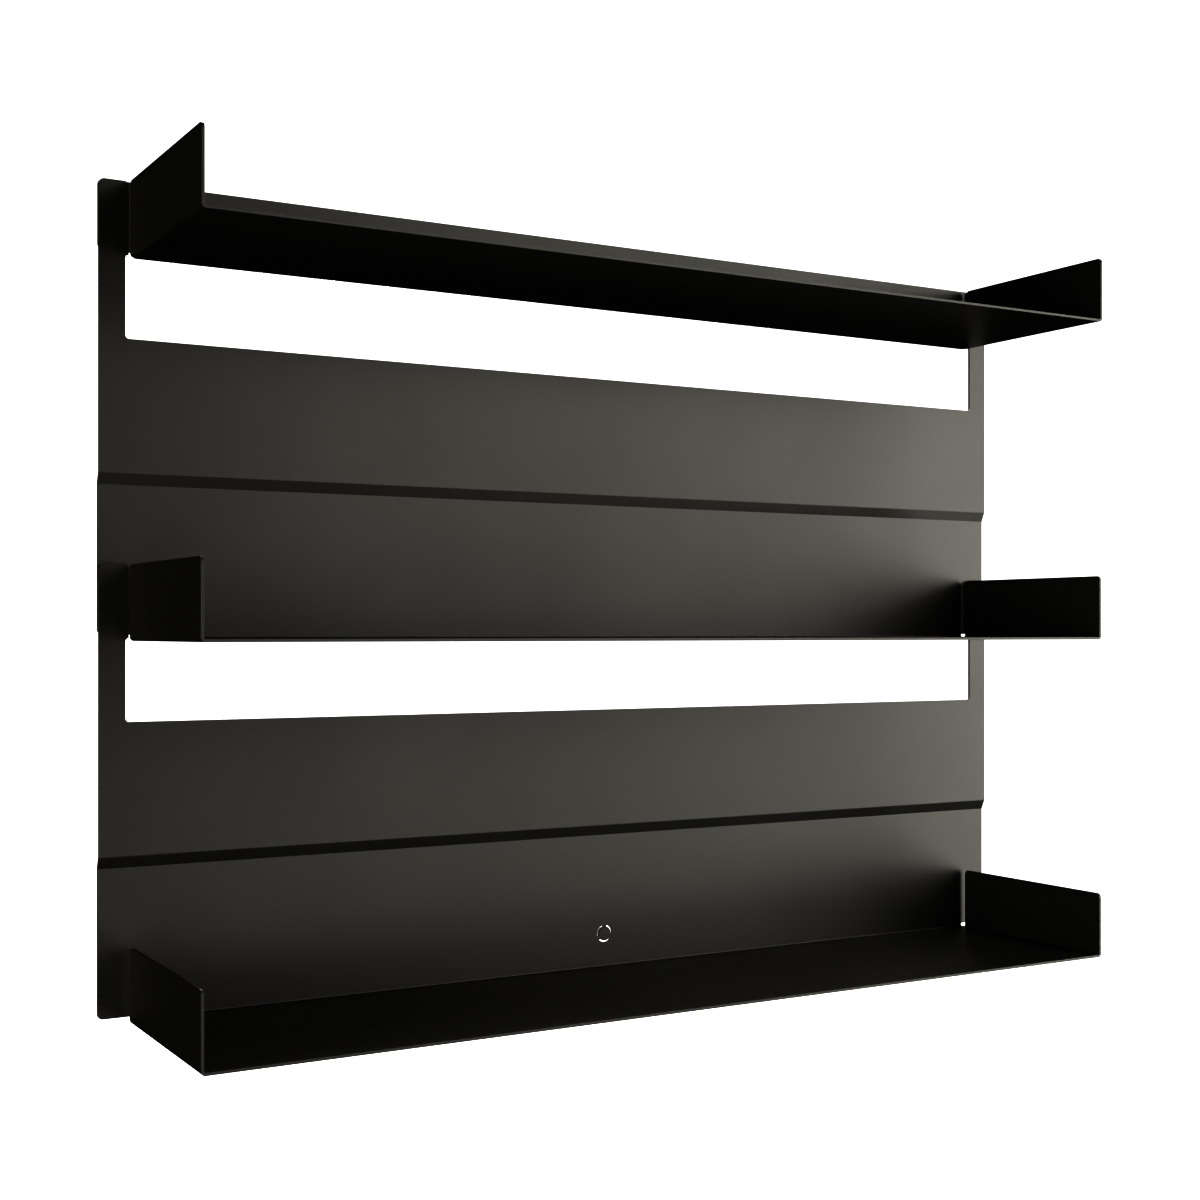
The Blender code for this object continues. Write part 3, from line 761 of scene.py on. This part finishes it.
# ---------------------------------------------------------------- studio
# The camera stands level, left of the shelf, and looks to the right.
CAMERA_LENS = 51.43      # millimetres
CAMERA_SHIFT = 0.0263    # raises the picture's frame, as a share of its width
CAMERA_YAW = math.radians(30.25)
CAMERA_X = -0.6919
CAMERA_DISTANCE = 1.179  # in front of the lower back plates
CAMERA_RISE = 0.2687     # above the bottom tray's underside
WHITE = (1.0, 1.0, 1.0, 1.0)
SEEN = 1.0               # how bright the white surround looks
FELT = 0.0               # how much light it gives: all the light comes from the soft boxes
FLOOR_SIZE = 12.0
FLOOR_LEVEL = -1.4

# Soft boxes round the shelf: degrees to the right of straight in front, degrees up, distance,
# size and watts.
WARM = (1.0, 0.97, 0.89)
NEAR = 2.2
FAR = 6.0
LIGHTS = (
    ("side_box", 60, 0, NEAR, (0.6, 1.2), 19.0),
    ("wide_box", 30, 0, NEAR, (1.6, 0.8), 8.3),
    ("front_box", 20, 0, NEAR, (1.0, 1.4), 2.5),
    ("high_box", 45, 15, NEAR, (0.8, 0.5), 5.5),
    ("raised_box", 30, 24, NEAR, (1.0, 0.5), 5.5),
    ("upper_box", 12, 20, NEAR, (0.8, 0.5), 2.5),
    ("lower_box", 12, -20, NEAR, (0.8, 0.5), 3.0),
    ("corner_box", 45, -22, NEAR, (0.8, 0.5), 6.0),
    ("low_box", -30, -20, NEAR, (0.8, 0.8), 9.0),
    ("left_box", -75, 0, NEAR, (0.8, 0.8), 27.0),
    ("top_box", 68, 58, NEAR, (0.6, 0.6), 12.0),
    ("rear_box", 155, 2.8, FAR, (3.0, 0.1), 95.0),
    ("rear_high_box", 160, 40, NEAR, (0.6, 0.8), 25.0),
)


def make_camera():
    """Place the camera and set the view's contrast."""
    scene = bpy.context.scene
    scene.view_settings.view_transform = "Standard"
    scene.view_settings.look = "Very High Contrast"
    data = bpy.data.cameras.new("camera")
    data.lens = CAMERA_LENS
    data.shift_y = CAMERA_SHIFT
    camera = bpy.data.objects.new("camera", data)
    camera.location = (CAMERA_X, LOWER_FRONT - CAMERA_DISTANCE, BOTTOM_LOW.z + CAMERA_RISE)
    camera.rotation_euler = (QUARTER, 0.0, -CAMERA_YAW)
    scene.collection.objects.link(camera)
    scene.camera = camera


def make_surround():
    """Make the surround, which looks white and gives no light."""
    world = bpy.data.worlds.new("studio")
    world.use_nodes = True
    bpy.context.scene.world = world
    nodes = world.node_tree.nodes
    links = world.node_tree.links
    seen = nodes["Background"]
    felt = nodes.new("ShaderNodeBackground")
    for background, strength in ((seen, SEEN), (felt, FELT)):
        background.inputs["Color"].default_value = WHITE
        background.inputs["Strength"].default_value = strength
    mix = nodes.new("ShaderNodeMixShader")
    path = nodes.new("ShaderNodeLightPath")
    links.new(path.outputs["Is Camera Ray"], mix.inputs["Fac"])
    links.new(felt.outputs["Background"], mix.inputs[1])
    links.new(seen.outputs["Background"], mix.inputs[2])
    links.new(mix.outputs["Shader"], nodes["World Output"].inputs["Surface"])


def make_floor():
    """Make the floor, which shines white and neither lights nor shades the shelf."""
    bpy.ops.mesh.primitive_plane_add(size=FLOOR_SIZE, location=(0.0, 0.0, FLOOR_LEVEL))
    floor = bpy.context.active_object
    floor.name = "floor"
    paint = Paint("floor_paint", 0.8)
    paint.shader.inputs["Emission Strength"].default_value = 1.0
    paint.shader.inputs["Emission Color"].default_value = WHITE
    paint.colour(paint.blend(paint.noise(3.0), (0.86, 0.86, 0.86), (0.9, 0.9, 0.9)))
    floor.data.materials.append(paint.material)
    floor.visible_diffuse = False
    floor.visible_glossy = False
    floor.visible_shadow = False


def make_lights():
    """Hang the soft boxes round the middle of the shelf."""
    middle = (CAD_LOW + CAD_HIGH) / 2
    for name, turn, lift, distance, size, power in LIGHTS:
        lamp = bpy.data.lights.new(name, "AREA")
        lamp.shape = "RECTANGLE"
        lamp.size, lamp.size_y = size
        lamp.energy = power
        lamp.color = WARM
        light = bpy.data.objects.new(name, lamp)
        # An area light shines along its own -Z.
        aim = Euler((QUARTER - math.radians(lift), 0.0, math.radians(turn)))
        light.rotation_euler = aim
        light.location = Vector((0.0, 0.0, distance))
        light.location.rotate(aim)
        light.location += Vector((0.0, 0.0, middle.z))
        light.visible_camera = False
        bpy.context.scene.collection.objects.link(light)


# ---------------------------------------------------------------- the whole shelf
def make_hardware():
    """Make the rails, studs, screws, plugs, spacers and pads."""
    zinc = rail_zinc()
    plated = bright_zinc("screw_zinc", (0.50, 0.50, 0.47), (0.66, 0.67, 0.70))
    steel = bright_zinc("stud_steel", (0.38, 0.38, 0.38), (0.52, 0.52, 0.53))
    nylon = grey_nylon()
    black = foam()

    # Pieces of one kind and size share the mesh that is made for one of them.
    countersunk = countersunk_mesh("lock_left_screw")
    pan = pan_mesh("upper_rail_left_screw")
    plug = plug_mesh("upper_rail_left_plug")
    top_spacer = spacer_mesh("top_left_lower_spacer")
    lock_spacer = spacer_mesh("lock_left_spacer")
    stud = stud_mesh("upper_stud_centre")
    pad = pad_mesh("middle_pad_left")

    panel_fixings = [f"top_{side}_{level}" for side in SIDES for level in ("lower", "upper")]
    panel_fixings += [f"lock_{side}" for side in SIDES]
    for name in panel_fixings:
        spacer = lock_spacer if name.startswith("lock") else top_spacer
        put(name + "_screw_plated", countersunk, name + "_screw", "screw_zinc", plated)
        put(name + "_plug_moulded", plug, name + "_plug", "grey_nylon", nylon)
        put(name + "_spacer_moulded", spacer, name + "_spacer", "grey_nylon", nylon, y=WALL)

    for level in ("upper", "lower"):
        make_rail(level, zinc)
        for place in RAIL_SCREW_PLACES:
            name = f"{level}_rail_{place}"
            front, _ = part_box(name + "_screw")
            seat = front.y + PAN_HEIGHT
            put(name + "_screw_plated", pan, name + "_screw", "screw_zinc", plated, y=seat)
            put(name + "_plug_moulded", plug, name + "_plug", "grey_nylon", nylon)
        for place in STUD_PLACES:
            name = f"{level}_stud_{place}"
            put(name + "_turned", stud, name, "stud_steel", steel)

    for side in SIDES:
        for kind in ("middle_pad", "bottom_pad", "foot_pad"):
            name = f"{kind}_{side}"
            put(name + "_foam", pad, name, "foam_pad", black, y=WALL)


def main():
    """Make every piece, then the studio round it."""
    coat = powder_coat()
    top_holes = [
        sink_cutter(f"top_{side}_{level}_screw") for side in SIDES for level in ("lower", "upper")
    ]
    middle_holes = [window_cutter(TOP_LOW.z)]
    middle_holes += [sink_cutter(f"lock_{side}_screw") for side in SIDES]
    bottom_holes = [window_cutter(MIDDLE_LOW.z)] + ring_cutters(0.0, BOTTOM_LOW.z + RING_RISE)
    make_panel("top_panel_coated", "top_tray_panel", False, top_holes, coat)
    make_panel("middle_panel_coated", "middle_tray_panel", True, middle_holes, coat)
    make_panel("bottom_panel_coated", "bottom_tray_panel", True, bottom_holes, coat)
    make_hardware()
    make_camera()
    make_surround()
    make_floor()
    make_lights()


main()
